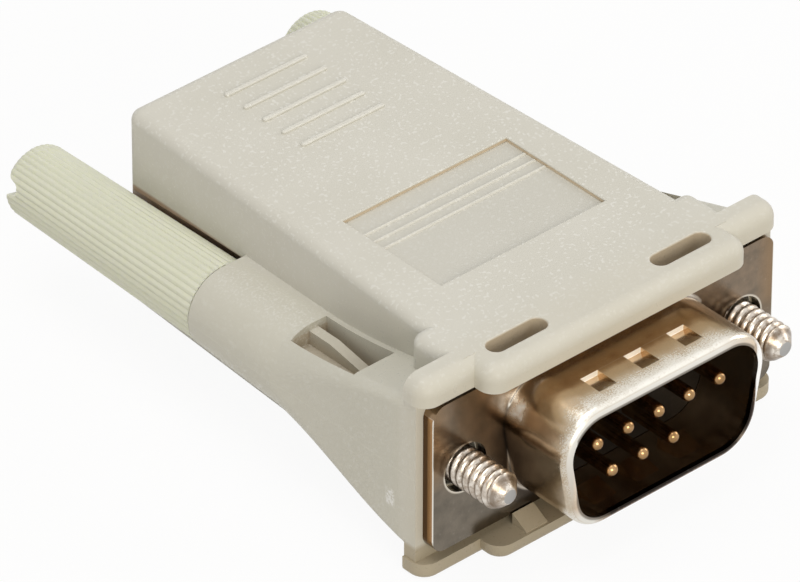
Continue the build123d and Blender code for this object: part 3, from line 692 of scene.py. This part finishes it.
thread_pitch, thread_radius, thread_depth = 0.635, 1.42, 0.22
thread_end, thread_rows, run_out = 1.9, 150, 0.2
screw_tip, point_radius, point_slope = -4.4, 0.57, 0.95
tip_round, tip_break = 0.06, 0.03
shank_radius, anchor_radius, anchor_length = 1.15, 1.7, 3.0
screw_brown_shade = (0.16, 0.11, 0.07)
screw_plate, tree, shader, place = new_material("nickel_plated_screw")
marks = use_group(tree, plate_haze, place, Scale=1500.0)
at = places(tree, place)
haze_share = spread(tree, marks["Haze"], 0.35, 0.65, 0.0, 1.0)
tone = tint(tree, haze_share, (0.46, 0.39, 0.32), (0.80, 0.74, 0.66))
smudge = spread(tree, noise(tree, place, 2600.0, 3.0, 0.6), 0.50, 0.60, 0.0, 0.65)
tone = coat(tree, tone, (0.30, 0.23, 0.165), smudge)
# Painted brown shade in the thread's grooves and on its underside; the sawn end is matt grey
tone = coat(tree, tone, screw_brown_shade, box_mask(tree, at, 0.2, Y=(-4.0, 3.0)),
            ramp(tree, from_axis(tree, at), 1.20, 1.29, 1.0, 0.0), 0.7)
tone = coat(tree, tone, screw_brown_shade, ramp(tree, at["Z"], -1.1, -0.1, 0.75, 0.0))
sawn = box_mask(tree, at, 0.01, Y=(-5.0, -4.39))
tone = coat(tree, tone, (0.42, 0.41, 0.395), sawn)
tree.links.new(tone, shader.inputs["Base Color"])
tree.links.new(spread(tree, sawn, 0.0, 1.0, 0.3, 0.5), shader.inputs["Roughness"])
shader.inputs["Metallic"].default_value = 1.0
bump(tree, shader, marks["Height"], 0.002)
for side, axis_x in (("left", -screw_x), ("right", screw_x)):
    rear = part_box(side + "_screw")[1].y / mm
    thread_start = screw_tip + tip_break
    rows = [(0, screw_tip, 0), (point_radius - tip_round, screw_tip, 0),
            (point_radius, thread_start, 0)]
    for step in range(1, thread_rows + 1):
        y = thread_start + (thread_end - thread_start) * step / thread_rows
        radius = min(thread_radius, point_radius + point_slope * (y - screw_tip))
        rows.append((radius, y, max(0.0, thread_depth - (thread_radius - radius))))
    anchor_start = rear - anchor_length
    rows += [(shank_radius, thread_end + run_out, 0), (shank_radius, anchor_start, 0),
             (anchor_radius, anchor_start, 0), (anchor_radius, rear, 0), (0, rear, 0)]
    screw = turn(side + "_jackscrew", rows, screw_plate, Around=56, Axis_X=axis_x * mm, Starts=1.0,
                 Turns_per_Metre=1 / (thread_pitch * mm), Crest=2.0)
    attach(screw, side + "_thumbscrew")
    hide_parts(side + "_screw")

# Thumb knobs: ivory plastic moulded over the rear of each screw, with round ribs for the
# fingers, a domed end and a tapered slot across it for a driver.
knob_paint = moulded(
    "ivory_knob", 2600.0, 0.25, ((0.66, 0.665, 0.53), (0.70, 0.705, 0.575)),
    "Height", (0.38, 0.5), 0.006, Subsurface_Weight=0.4, Subsurface_Radius=(0.9, 0.95, 0.6),
    Subsurface_Scale=0.6 * mm)

knob_ribs, rib_cut, rib_steps, rib_start = 38, 0.10, 8, 0.15
knob_front_radius, knob_rear_radius = 3.08, 2.73
face_lead, face_ring, edge_break, edge_run = 0.08, 0.3, 0.05, 0.03
dome_round = 0.7
taper_rows, dome_rows = 12, 8
slot_floor_width, slot_mouth_width, slot_depth = 0.62, 1.9, 1.4
slot_angle = math.radians(-14)
cutter_reach, cutter_rise, cutter_flare = 4.0, 0.3, 0.14


def slot_cutter(name, axis_x, rear):
    """A wedge across a knob's domed end, wider towards the mouth of the driver slot."""
    half_floor, half_mouth = slot_floor_width / 2, slot_mouth_width / 2 + cutter_flare
    outline = [(-slot_depth, -half_floor), (cutter_rise, -half_mouth),
               (cutter_rise, half_mouth), (-slot_depth, half_floor)]
    cosine, sine = math.cos(slot_angle), math.sin(slot_angle)
    wedge = bmesh.new()
    near, far = ([wedge.verts.new(Vector((axis_x + reach * cosine - across * sine, rear + along,
                                          reach * sine + across * cosine)) * mm)
                  for along, across in outline] for reach in (-cutter_reach, cutter_reach))
    wedge.faces.new(near)
    wedge.faces.new(far)
    for i in range(4):
        j = (i + 1) % 4
        wedge.faces.new((near[i], near[j], far[j], far[i]))
    bmesh.ops.recalc_face_normals(wedge, faces=wedge.faces)
    wedge_mesh = bpy.data.meshes.new(name)
    wedge.to_mesh(wedge_mesh)
    wedge.free()
    cutter = bpy.data.objects.new(name, wedge_mesh)
    scene.collection.objects.link(cutter)
    return cutter


for side, axis_x in (("left", -screw_x), ("right", screw_x)):
    low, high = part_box(side + "_knob")
    front, rear = low.y / mm, high.y / mm
    knob_length = rear - front
    # The face stands a little forward of the solid's, as in the reference
    face = front - face_lead
    rows = [(0, face, 0), (knob_front_radius - face_ring, face, 0),
            (knob_front_radius - edge_break, face, 0),
            (knob_front_radius, face + edge_run, rib_cut)]
    for step in range(taper_rows + 1):
        y = front + rib_start + (knob_length - dome_round - rib_start) * step / taper_rows
        taper = (knob_rear_radius - knob_front_radius) * (y - front) / knob_length
        rows.append((knob_front_radius + taper, y, rib_cut))
    for step in range(1, dome_rows + 1):
        turn_by = math.pi / 2 * step / dome_rows
        radius = knob_rear_radius - dome_round * (1 - math.cos(turn_by))
        y = rear - dome_round * (1 - math.sin(turn_by))
        rows.append((radius, y, rib_cut * (1 - step / dome_rows)))
    rows.append((0, rear, 0))
    cutter = slot_cutter(side + "_slot_cutter", axis_x, rear)
    knob = turn(side + "_thumb_knob", rows, knob_paint, cutters=[cutter],
                Around=knob_ribs * rib_steps, Axis_X=axis_x * mm, Starts=float(knob_ribs),
                Phase=0.5, Turns_per_Metre=0.0, Crest=1.5)
    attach(knob, side + "_thumbscrew")
    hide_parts(side + "_knob")
